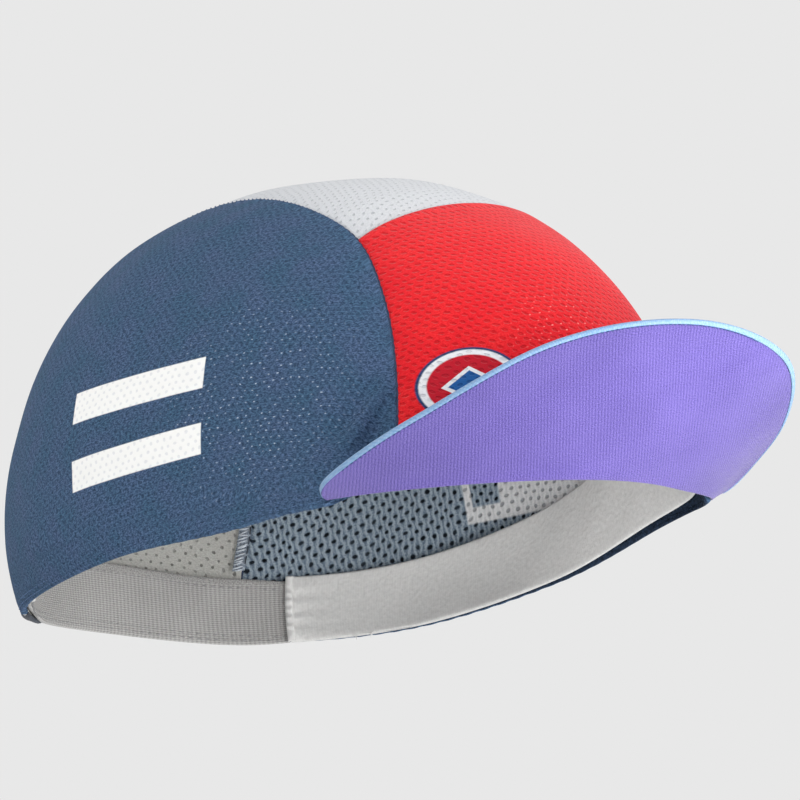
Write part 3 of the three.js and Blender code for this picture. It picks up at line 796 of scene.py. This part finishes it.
# The bar tack closes the right seam's end at the back hem, which is bunched there: the angles of
# its ends, then the depth and height of each of its heavy stitches
TACK_FROM, TACK_TO = 148.5, 157.5
TACK = np.array([(0.2, 0.5), (0.9, 0.1), (1.5, -0.3)])
# The right panel's turned-in part shows its own outside; the left one's is darker navy, painted
# shade
for name, hand, finish, reverse, turned_in_cloth_or_painted_shade in (
        ("right_side_panel", -1, striped_mesh, navy_reverse, striped_mesh),
        ("left_side_panel", 1, block_mesh, block_reverse, navy_hem_painted_shade)):
    outside, inside, flat, turned_in = side_panel(hand, 11 + hand)
    panel = sewn_cloth(name + "_cloth", outside, inside, flat, [finish, reverse, turned_in_cloth_or_painted_shade],
                       turned_in)
    extras = []
    for row, height in enumerate(HEM_ROWS):
        path, ways = hem_line(hand, height)
        extras.append(stitched(f"{name}_hem_stitches_{row + 1}", path, ways, 0.9, 2.1, 0.22,
                               light_thread))
    path, ways = seam_line(hand, FRONT_TURN + 0.5, BACK_TURN - 1, -HALF_SEAM_GAP,
                           (STRIP_DIP, FRONT_DIP), deeper=0.6)
    extras.append(stitched(name + "_seam_thread", path, ways, 3.4, 2.4, 0.9, seam_cord))
    path, ways = seam_line(hand, FRONT_TURN + 1, BACK_TURN - 3, 0.55,
                           (SIDE_DIP, SIDE_FRONT_DIP))
    extras.append(stitched(name + "_seam_stitches", path, ways, 0.55, 1.75, 0.3, navy_thread))

    def beside_seam(u, from_seam):
        turn = ALLOWANCE_FROM + (ALLOWANCE_TO - ALLOWANCE_FROM) * u
        half = HALF_WIDTH * along(SEAM, turn)[..., 0] * 0.86
        return strip_direction(turn + 0 * from_seam, hand * (1 - from_seam / half))
    extras += seam_allowance(name + "_seam_allowance", beside_seam, 260)
    if hand < 0:
        deep, high = TACK.T
        tops = pressed(direction_above(hand * TACK_FROM + 0 * deep, high + 0.4), deep)
        feet = pressed(direction_above(hand * TACK_TO + 0 * deep, high - 0.7), deep + 0.5)
        extras.append(threads(name + "_bar_tack", tops, feet, [(-0.5, 0.6, -0.6)] * 3,
                              0.35 + 0 * deep, 1.25, dark_thread))
    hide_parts(name)

# Front panel: the same mesh in red over the forehead, overlocked to both side panels and to the
# white strip. A plain oval badge is dyed into it over the wearer's right eye.


def strip_panel(start, end, proud, columns, rows, grain, seed):
    """Outside, inside and flat pattern of part of the middle strip."""
    width, length = (120, 90) if proud else (62, 190)
    share = (2 * even_with_fine_ends(columns, width, WALL)[:, None] - 1) * (
        1 - seam_share(np.array((start + end) / 2)))
    first, last = start + CROSS_BEND * share**2, end
    if start < CROSS_SEAM:
        last = end + CROSS_BEND * share**2
        x = share * SEAM[0][1]
        angle = np.degrees(np.arctan2(x, 1.0))
        foot = direction_above(angle, lift(angle))
        first = np.degrees(np.arctan2(foot[..., 2], np.hypot(foot[..., 0], foot[..., 1])))
    turn = first + (last - first) * even_with_fine_ends(rows, length, WALL)[None, :]
    share = np.broadcast_to(share, turn.shape)
    direction = strip_direction(turn, share)
    plain = crown(direction)
    to_side = np.linalg.norm(plain - crown(strip_direction(turn, np.sign(share + 1e-9))), axis=-1)
    to_cross = np.linalg.norm(
        plain - crown(strip_direction(CROSS_SEAM + CROSS_BEND * share**2, share)), axis=-1)
    depth = STRIP_DIP * np.exp(-to_side / SEAM_WIDTH)
    depth = depth + FRONT_DIP * np.exp(-to_side / FRONT_DIP_WIDTH) * front_share(turn)
    depth = depth * dip_share(plain)
    depth = depth + np.exp(-to_cross / SEAM_WIDTH) * (-0.3 if proud else 0.5)
    fade = np.clip(to_side / 12, 0, 1) * np.clip(to_cross / 10, 0, 1)
    depth = depth - 0.4 * fade * wave(plain, 36, seed)
    down, across = distance_along(plain, 1), distance_along(plain, 0)
    depth = depth + seam_pucker(down, to_side, plain, seed + 2)
    hem = down[:, -1:] - down if not proud else 99 + 0 * down
    thick = hem_thickness(hem)
    roll = edge_roll(np.minimum(np.minimum(down, down[:, -1:] - down),
                                np.minimum(across, across[-1:] - across)), thick)
    outside, inside = pressed(direction, depth + roll), pressed(direction, depth + thick - roll)
    return outside, inside, laid_flat(plain, grain, strip=not proud)


# The badge in mm: its centre, the way it faces, and the half sizes of the oval and its lozenge
BADGE_AT, BADGE_FACES = (-33.0, -79.5, 30.3), (-0.47, -0.86, 0.2)
BADGE_HALF, LOZENGE = (13.2, 9.4), (5.6, 3.6)


def oval_badge(tree, body, colour, hole_colour, contrast):
    """Thin navy line round a white ring, a crimson field and a blue lozenge edged in white."""
    face = unit(np.array(BADGE_FACES))
    along_it = unit(np.cross(face, [0, 0, 1.0])) * -1
    up_it = np.cross(face, along_it) * -1
    centre = [c / 1000 for c in BADGE_AT]
    off = add_node(tree, "VectorMath", {0: body, 1: centre}, operation="SUBTRACT")[0]
    ways = []
    for axis, half in ((along_it, BADGE_HALF[0]), (up_it, BADGE_HALF[1])):
        ways.append(add_node(tree, "VectorMath", {0: off, 1: tuple(axis * 1000 / half)},
                             operation="DOT_PRODUCT")[1])
    oval = add_node(tree, "VectorMath", {0: add_node(
        tree, "CombineXYZ", {0: ways[0], 1: ways[1]})[0]}, operation="LENGTH")[1]
    wide = add_node(tree, "Math", {0: ways[0]}, operation="ABSOLUTE")[0]
    tall = add_node(tree, "Math", {0: ways[1]}, operation="ABSOLUTE")[0]
    tall = add_node(tree, "Math", {0: tall, 1: BADGE_HALF[1] / LOZENGE[1]},
                    operation="MULTIPLY")[0]
    lozenge = add_node(tree, "Math", {0: wide, 1: BADGE_HALF[0] / LOZENGE[0], 2: tall},
                       operation="MULTIPLY_ADD")[0]
    for reach, limit, tone in ((oval, 1.0, "2c4470"), (oval, 0.94, "eeeef0"),
                               (oval, 0.8, "c81e30"), (lozenge, 1.3, "eeeef0"),
                               (lozenge, 1.0, "2a62a4")):
        share = add_node(tree, "MapRange", {0: reach, 1: limit + 0.015, 2: limit - 0.015,
                                            3: 0.0, 4: 1.0})[0]
        colour = add_node(tree, "Mix", {0: share, 6: colour, 7: linear(tone)},
                          data_type="RGBA")[2]
        if limit == 1.0 and reach is oval:
            covered = share
    dim = add_node(tree, "Mix", {0: 1.0, 6: colour, 7: (0.62, 0.62, 0.65, 1)}, data_type="RGBA",
                   blend_type="MULTIPLY")[2]
    hole = add_node(tree, "Mix", {0: covered, 6: hole_colour, 7: dim}, data_type="RGBA")[2]
    return colour, hole


red_reverse = polyester_mesh("red polyester mesh, reverse", "e8585a", "c83a40", "5a0c10",
                             **REVERSE)
# The red mesh carries a painted highlight: pale glints in the holes around (-8, -92, 42) mm
red_mesh = polyester_mesh("red polyester mesh", "f23034", "e01822", "b00812", wale=2.3,
                          course=1.7, hole=(1.15, 0.9), slant=-0.5, drift="ea2430", sheen=0.15,
                          hole_share=0.5, painted_glints=((-8, -92, 42), 22, "ff9a94"), dyed=oval_badge)
outside, inside, flat = strip_panel(0, CROSS_SEAM - 0.1, True, 90, 90, 0, 31)
front_panel = sewn_cloth("front_panel_cloth", outside, inside, flat, [red_mesh, red_reverse])
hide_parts("front_panel")

# Top panel: the same mesh in white, one strip from the crown of the head down to the back hem.
# The reverse of the white mesh is greyed to a warm grey as painted shade, for the dim inside of the
# crown
white_reverse_painted_shade = polyester_mesh("white polyester mesh, reverse", "c2c2bd", "b0b0ab", "666662",
                               wale=3.0, course=1.85, hole=(0.8, 0.7), hole_share=0.8, relief=0.4)
white_mesh = polyester_mesh("white polyester mesh", "dcdee1", "d2d4d8", "a8acb2", wale=2.3,
                            course=1.6, hole=(0.8, 0.5), hole_share=0.6)
outside, inside, flat = strip_panel(CROSS_SEAM + 0.1, BACK_TURN, False, 60, 150, 0, 41)
top_panel = sewn_cloth("top_panel_cloth", outside, inside, flat, [white_mesh, white_reverse_painted_shade])


# How much of the strip's width the allowance takes, and the mm over the head to a degree of turn
CROSS_REACH, MM_TO_DEGREE = 0.93, 1.45


def beside_cross_seam(u, from_seam):
    half = CROSS_REACH * (2 * u - 1) + 0 * from_seam
    turn = CROSS_SEAM + CROSS_BEND * half**2 + from_seam / MM_TO_DEGREE
    return strip_direction(turn, half)


cross_allowance = seam_allowance("top_panel_seam_allowance", beside_cross_seam, 66,
                                 columns=60)
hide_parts("top_panel")

# Peak: a stiff insert between two cloths, turned up. The underside is lilac twill. The upper
# side is sky blue, and its edge is rolled round the rim of the peak onto the underside.
# By the turn from corner to corner: how far it reaches from the rim, and how far it is turned up
PEAK = [(-90, 1.5, 14), (-64, 13, 22), (-45, 25.5, 31), (-22, 44, 39), (0, 49.5, 40),
        (22, 44.5, 36), (45, 28, 32), (64, 13.6, 27), (90, 3.4, 13)]
PEAK_SPLAY, PEAK_CORNER_SPLAY, PEAK_SET = 52.0, 19.0, 0.0
# On the left the lilac's root hangs lower, where it is gathered into the seam: by turn, mm
GATHER = [(-90, 0), (0, 0), (17, 0.3), (30, 1.15), (44, 1.7), (53, 1.85), (64, 1.6), (72, 1.2),
          (90, 0.75)]
# Width of the rolled edge as seen from below, by the turn from corner to corner
BEAD = [(-90, 0.35), (-64, 0.5), (-22, 0.7), (0, 0.9), (22, 1.4), (45, 1.4), (54, 0.6), (64, 0.2),
        (90, 0.05)]
UNDER_THICK, PEAK_THICK, TOP_CLOTH_FROM = 0.7, 1.5, 1.0


def peak_point(share, out, high):
    """Point of the peak at a share from corner to corner, out from the rim and above its
    underside, in millimetres. Out is measured from the rim, or back from the edge if negative."""
    def underside(s, reach):
        _, tilt = np.moveaxis(along(PEAK, np.degrees(np.arcsin(s))), -1, 0)
        tilt, splay = np.radians(tilt), np.radians(PEAK_SPLAY * s + PEAK_CORNER_SPLAY * s**3)
        way = np.stack([np.sin(splay) * np.cos(tilt), -np.cos(splay) * np.cos(tilt),
                        np.sin(tilt)], -1)
        return along(loop, PEAK_CORNER_STEP * s)[..., :3] + reach[..., None] * way
    share, out, high = np.broadcast_arrays(np.asarray(share, float), out, high)
    length = along(PEAK, np.degrees(np.arcsin(share)))[..., 0]
    held = np.clip(share, -0.97, 0.97)
    half = along(PEAK, np.degrees(np.arcsin(held)))[..., 0] / 2
    across = underside(held + 0.01, half) - underside(held - 0.01, half)
    outwards = underside(held, 2 * half) - underside(held, 0 * half)
    normal = unit(np.cross(outwards, across))
    normal *= np.sign(normal[..., 2:])
    reach = np.where(out < 0, np.maximum(length + out, PEAK_SET), out)
    return underside(share, reach) + normal * high[..., None]


def ribbed_cloth(name, light, dark, pitch, weft=0.0, weft_share=0.3, rib_share=0.5, depth=0.12,
                 lean=0.0, grain=1.6, bent=0.7, shine=0.15, border=None):
    """Woven or knitted cloth in fine ribs at a pitch in mm, light on the rib and dark between,
    and finer ones across them at the weft's pitch. A border at the cloth's top can be plain."""
    made, tree = new_finish(name)
    place = add_node(tree, "UVMap", uv_map="flat_pattern")[0]
    wander = add_node(tree, "TexNoise", {"Vector": place, "Scale": 0.35, "Detail": 2.0})[0]
    split = add_node(tree, "SeparateXYZ", {0: add_node(
        tree, "Mapping", {"Vector": place, "Rotation": (0, 0, np.radians(lean))})[0]})
    level = add_node(tree, "TexNoise", {"Vector": place, "Scale": grain, "Detail": 3.0})[0]
    level = add_node(tree, "MapRange", {0: level, 1: 0.3, 2: 0.7, 3: 0.0, 4: 1.0})[0]
    for axis, step, share in ((0, pitch, rib_share), (1, weft, weft_share)):
        if step:
            turn = add_node(tree, "Math", {0: split[axis], 1: 2 * np.pi / step},
                            operation="MULTIPLY")[0]
            turn = add_node(tree, "Math", {0: wander, 1: bent * 2 * np.pi, 2: turn},
                            operation="MULTIPLY_ADD")[0]
            rib = add_node(tree, "Math", {0: turn}, operation="SINE")[0]
            rib = add_node(tree, "MapRange", {0: rib, 1: -1.0, 2: 1.0, 3: 0.0, 4: 1.0})[0]
            if border:
                share = add_node(tree, "MapRange", {0: split[1], 1: border, 2: border - 0.3,
                                                    3: 0.0, 4: share})[0]
            level = add_node(tree, "Mix", {0: share, 2: level, 3: rib}, data_type="FLOAT")[0]
    patch = add_node(tree, "TexNoise", {"Vector": place, "Scale": 0.06, "Detail": 3.0})[0]
    tones = add_node(tree, "Math", {0: patch, 1: 0.35, 2: level}, operation="MULTIPLY_ADD")[0]
    tones = add_node(tree, "Math", {0: tones, 1: 0.175}, operation="SUBTRACT")[0]
    colour = add_node(tree, "Mix", {0: tones, 6: linear(dark), 7: linear(light)},
                      data_type="RGBA")[2]
    bump = add_node(tree, "Bump", {"Height": level, "Strength": 0.7,
                                   "Distance": depth / 1000})[0]
    shader = add_node(tree, "BsdfPrincipled", {
        "Base Color": colour, "Roughness": 0.8, "Normal": bump, "Sheen Weight": shine,
        "Sheen Roughness": 0.4, "Specular IOR Level": 0.3})
    add_node(tree, "OutputMaterial", {"Surface": shader[0]})
    return made


lilac_twill = ribbed_cloth("lilac cotton twill", "7b6bbc", "31256e", 0.85, rib_share=0.28,
                           depth=0.14, grain=3.0, shine=0.3, lean=-31, bent=0.25)
sky_knit = ribbed_cloth("sky blue polyester", "98b1cf", "6a94bf", 0.6, rib_share=0.3,
                        shine=0.1)

shares = np.sin(np.linspace(-np.pi / 2, np.pi / 2, 201))[:, None] * 0.9995
peak_length, bead = (along(table, np.degrees(np.arcsin(shares)))[..., 0] for table in (PEAK, BEAD))
out = np.maximum(PEAK_SET + (peak_length - bead - 0.1 - PEAK_SET) * even_with_fine_ends(
    40, 40, UNDER_THICK)[None, :], PEAK_SET)
to_edge = np.minimum(out - PEAK_SET, out.max(1, keepdims=True) - out)
draw = edge_roll(to_edge, UNDER_THICK) * 0.9
plain = peak_point(shares, out, 0.1)
fade = np.clip(to_edge / 5, 0, 1)
swell = 0.22 * fade * wave(plain, 26, 61)
from_root = (out - PEAK_SET) / np.maximum(peak_length - PEAK_SET, 0.1)
gather = along(GATHER, np.degrees(np.arcsin(shares)))[..., 0] * np.clip(1 - from_root, 0, 1) ** 2
under_low = peak_point(shares, out, 0.1 + draw - swell - gather)
under_high = peak_point(shares, out, 0.1 + UNDER_THICK - draw)
flat = laid_flat(under_low, 0)
peak_under = sewn_cloth("peak_under_cloth", under_low, under_high, flat, [lilac_twill])
# The rolled edge is caught down with a row of dark blue stitches in the groove beside it
blue_thread = thread_finish("dark blue thread", "34508c", "24345e")
run = np.sin(np.linspace(-1.1, 0.25, 300))
groove_at = -along(BEAD, np.degrees(np.arcsin(run)))[..., 0] - 0.1
groove = peak_point(run, groove_at, -0.02)
facing = unit(peak_point(run, groove_at, -1.0) - groove)
edge_stitches = stitched("peak_edge_stitches", groove, facing, 1.0, 1.4, 0.3, blue_thread)
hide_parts("peak_under")

# The upper cloth's section: over the top, round the edge and back to meet the lilac
turns = np.radians(np.linspace(90, -90, 15))
half_thick = PEAK_THICK / 2
roll_out = np.concatenate([np.zeros(24), np.cos(turns)])
outer_high = np.concatenate([np.full(24, PEAK_THICK), half_thick + half_thick * np.sin(turns)])
inner_high = np.concatenate([np.full(24, TOP_CLOTH_FROM),
                             half_thick + (TOP_CLOTH_FROM - half_thick) * np.sin(turns)])
body = np.concatenate([np.linspace(0, 1, 25)[:24], np.ones(15)])[None, :]
base = PEAK_SET + (np.maximum(peak_length - bead, PEAK_SET) - PEAK_SET) * body
top_outer = peak_point(shares, base + roll_out * bead, outer_high + 0 * base)
top_inner = peak_point(shares, base + roll_out * bead * 0.35, inner_high + 0 * base)
flat = laid_flat(top_outer[:, :25], 0)
tail = distance_along(top_outer, 1)[:, 25:] - distance_along(top_outer, 1)[:, 24:25]
onward = unit(flat[:, -1] - flat[:, -2])[:, None]
flat = np.concatenate([flat, flat[:, -1:] + onward * tail[..., None]], 1)
peak_top = sewn_cloth("peak_top_cloth", top_outer, top_inner, flat, [sky_knit])
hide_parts("peak_top")

# Sweatband: pale jersey, folded lengthways and sewn in along the hem, its ends folded under
# where the elastic begins.
JOIN_ANGLE, JOIN_SLANT, BAND_THICK, BAND_UNDER = 141.0, 1.1, 1.3, 2.1
# How deep the bands lie under the crown, by the angle from the front, positive on the left
BAND_DEPTH = [(-141, BAND_UNDER), (-65, BAND_UNDER), (-56, 3.0), (-44, 3.6), (-36, 2.6),
              (-28, BAND_UNDER), (35, BAND_UNDER), (52, 1.8), (70, 1.8), (95, BAND_UNDER),
              (219, BAND_UNDER)]
# The band's edges above the rim, by the angle from the front, positive on the left
BAND_LOW = [(-141, 1.3), (-100, 1.9), (-70, 3.2), (0, 3.2), (52, 2.6), (75, 1.4), (100, -0.6),
            (141, -0.9)]
BAND_HIGH = [(-141, 16.8), (-120, 17.2), (-100, 18), (-80, 19), (-60, 20), (0, 20.5), (60, 20),
             (80, 19), (100, 18), (120, 17.2), (141, 16.8)]


def inner_band(start, end, low, high, thick, columns, rows, ripple, long=300):
    """Outside, inside and flat pattern of a band inside the rim, its edges' heights by angle."""
    share = even_with_fine_ends(columns, max(long, 4.5 * thick), thick)[:, None]
    angle = start + (end - start) * share
    v = even_with_fine_ends(rows, 18, thick)[None, :]
    bottom, top = along(low, angle)[..., 0], along(high, angle)[..., 0]
    height = bottom + (top - bottom) * v
    angle = angle + JOIN_SLANT * (1 - 2 * v) * np.sin(np.radians(angle)) / np.sin(
        np.radians(JOIN_ANGLE))
    direction = direction_above(np.where(angle > 180, angle - 360, angle), height)
    plain = crown(direction)
    down, across = distance_along(plain, 1), distance_along(plain, 0)
    to_end = np.minimum(across, across[-1:] - across)
    draw = edge_roll(np.minimum(np.minimum(down, down[:, -1:] - down), to_end), thick)
    near, far = ripple(to_end, height, plain)
    under = along(BAND_DEPTH, angle)[..., 0]
    outside = pressed(direction, under + near + draw)
    inside = pressed(direction, under + thick + far - draw)
    middle = across[:, rows // 2, None] + 0 * down
    return outside, inside, np.stack([middle, down], -1)


def band_ripple(to_end, height, points):
    """The top stands off the wall in places. The folded end is thicker, and puckers beside it."""
    free = 0.02 * np.maximum(height, 0) * (1 + wave(points, 30, 51))
    lip = 0.5 * np.exp(-to_end / 1.5)
    pucker = np.sin(height * 2 * np.pi / 4.4 + 0.6 + wave(points, 18, 54))
    pucker = 0.45 * pucker * np.exp(-to_end / 5) * np.clip(to_end / 1.5, 0, 1)
    soft = 0.2 * wave(points, 22, 52) + 0.07 * wave(points, 7, 53)
    return free, free + lip + pucker + soft * np.clip(to_end / 8, 0, 1)


jersey = ribbed_cloth("pale cotton jersey", "dcdcda", "cacac8", 0.7, rib_share=0.2, grain=0.9)
outside, inside, flat = inner_band(-JOIN_ANGLE + 0.15, JOIN_ANGLE - 0.15, BAND_LOW, BAND_HIGH,
                                   BAND_THICK, 420, 18, band_ripple)
sweatband = sewn_cloth("sweatband_jersey", outside, inside, flat, [jersey])
# Each end is folded over into a soft lip, pinched by its stitches, that laps the elastic
for side in (-1, 1):
    def lip_ripple(to_end, height, points):
        bulge = 0.16 * np.sin(height * 2 * np.pi / 2.3) + 0.12 * wave(points, 4, 57)
        return 0.95 + 0 * to_end, 1.35 + bulge
    first, last = sorted((side * (JOIN_ANGLE + 0.35), side * (JOIN_ANGLE - 1.05)))
    outside, inside, lip_flat = inner_band(first, last, BAND_LOW, BAND_HIGH, BAND_THICK, 10, 60,
                                           lip_ripple, 2)
    sewn_cloth("sweatband_lip_" + ("left" if side > 0 else "right"), outside, inside,
                           lip_flat, [jersey])
# A few cut ends of thread hang from its lower edge on the left
starts, ends = (direction_above(np.array(angles), np.array(heights)) for angles, heights in (
    ([126.9, 128.2, 129.5, 130.6, 127.6], [-0.5] * 5),
    ([127.7, 127.2, 130.4, 130.2, 128.9], [-2.1, -1.5, -2.2, -1.7, -1.2])))
under = BAND_UNDER + BAND_THICK + np.zeros(5)
threads("sweatband_loose_threads", pressed(starts, under), pressed(ends, under),
                    unit(pressed(starts, under) - pressed(starts, 0 * under)), under * 0 + 0.2, 0.2,
                    thread_finish("white thread", "e6e6e4", "c8c8c6"))
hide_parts("sweatband")

# Back elastic: wide woven elastic in warm grey, sewn behind the head and joined to the sweatband.
ELASTIC_THICK, ELASTIC_ROWS = 1.4, (2.4, 15.2, 16.5)
ELASTIC_LOW = [(141, -0.9), (150, -1.2), (203, -1.2), (210, 0.5), (219, 1.4)]
ELASTIC_HIGH = [(141, 15.6), (150, 16.3), (219, 16.3)]


def elastic_ripple(to_end, height, points):
    return 0 * to_end, 0.1 * wave(points, 16, 55)


webbing = ribbed_cloth("woven elastic", "c6c5c3", "807f7d", 1.2, weft=0.55, weft_share=0.45,
                       rib_share=0.55, depth=0.3, bent=0.12, grain=3.0, border=15.9)
outside, inside, flat = inner_band(JOIN_ANGLE + 0.15, 360 - JOIN_ANGLE - 0.15, ELASTIC_LOW,
                                   ELASTIC_HIGH, ELASTIC_THICK, 160, 18, elastic_ripple)
elastic = sewn_cloth("back_elastic_webbing", outside, inside, flat, [webbing])
grey_thread = thread_finish("grey thread", "a8a8a8", "7c7c7e")
for row, from_top in enumerate(ELASTIC_ROWS):
    angle = np.linspace(JOIN_ANGLE + 1, 359 - JOIN_ANGLE, 120)
    high = along(ELASTIC_HIGH, angle)[..., 0] - from_top
    direction = direction_above(np.where(angle > 180, angle - 360, angle), high)
    sunk = pressed(direction, along(BAND_DEPTH, angle)[..., 0] + ELASTIC_THICK + 0.05)
    stitched(f"back_elastic_stitches_{row + 1}", sunk,
                         unit(sunk - pressed(direction, 0 * angle)), 1.3, 2.2, 0.25, grey_thread)
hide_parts("back_elastic")
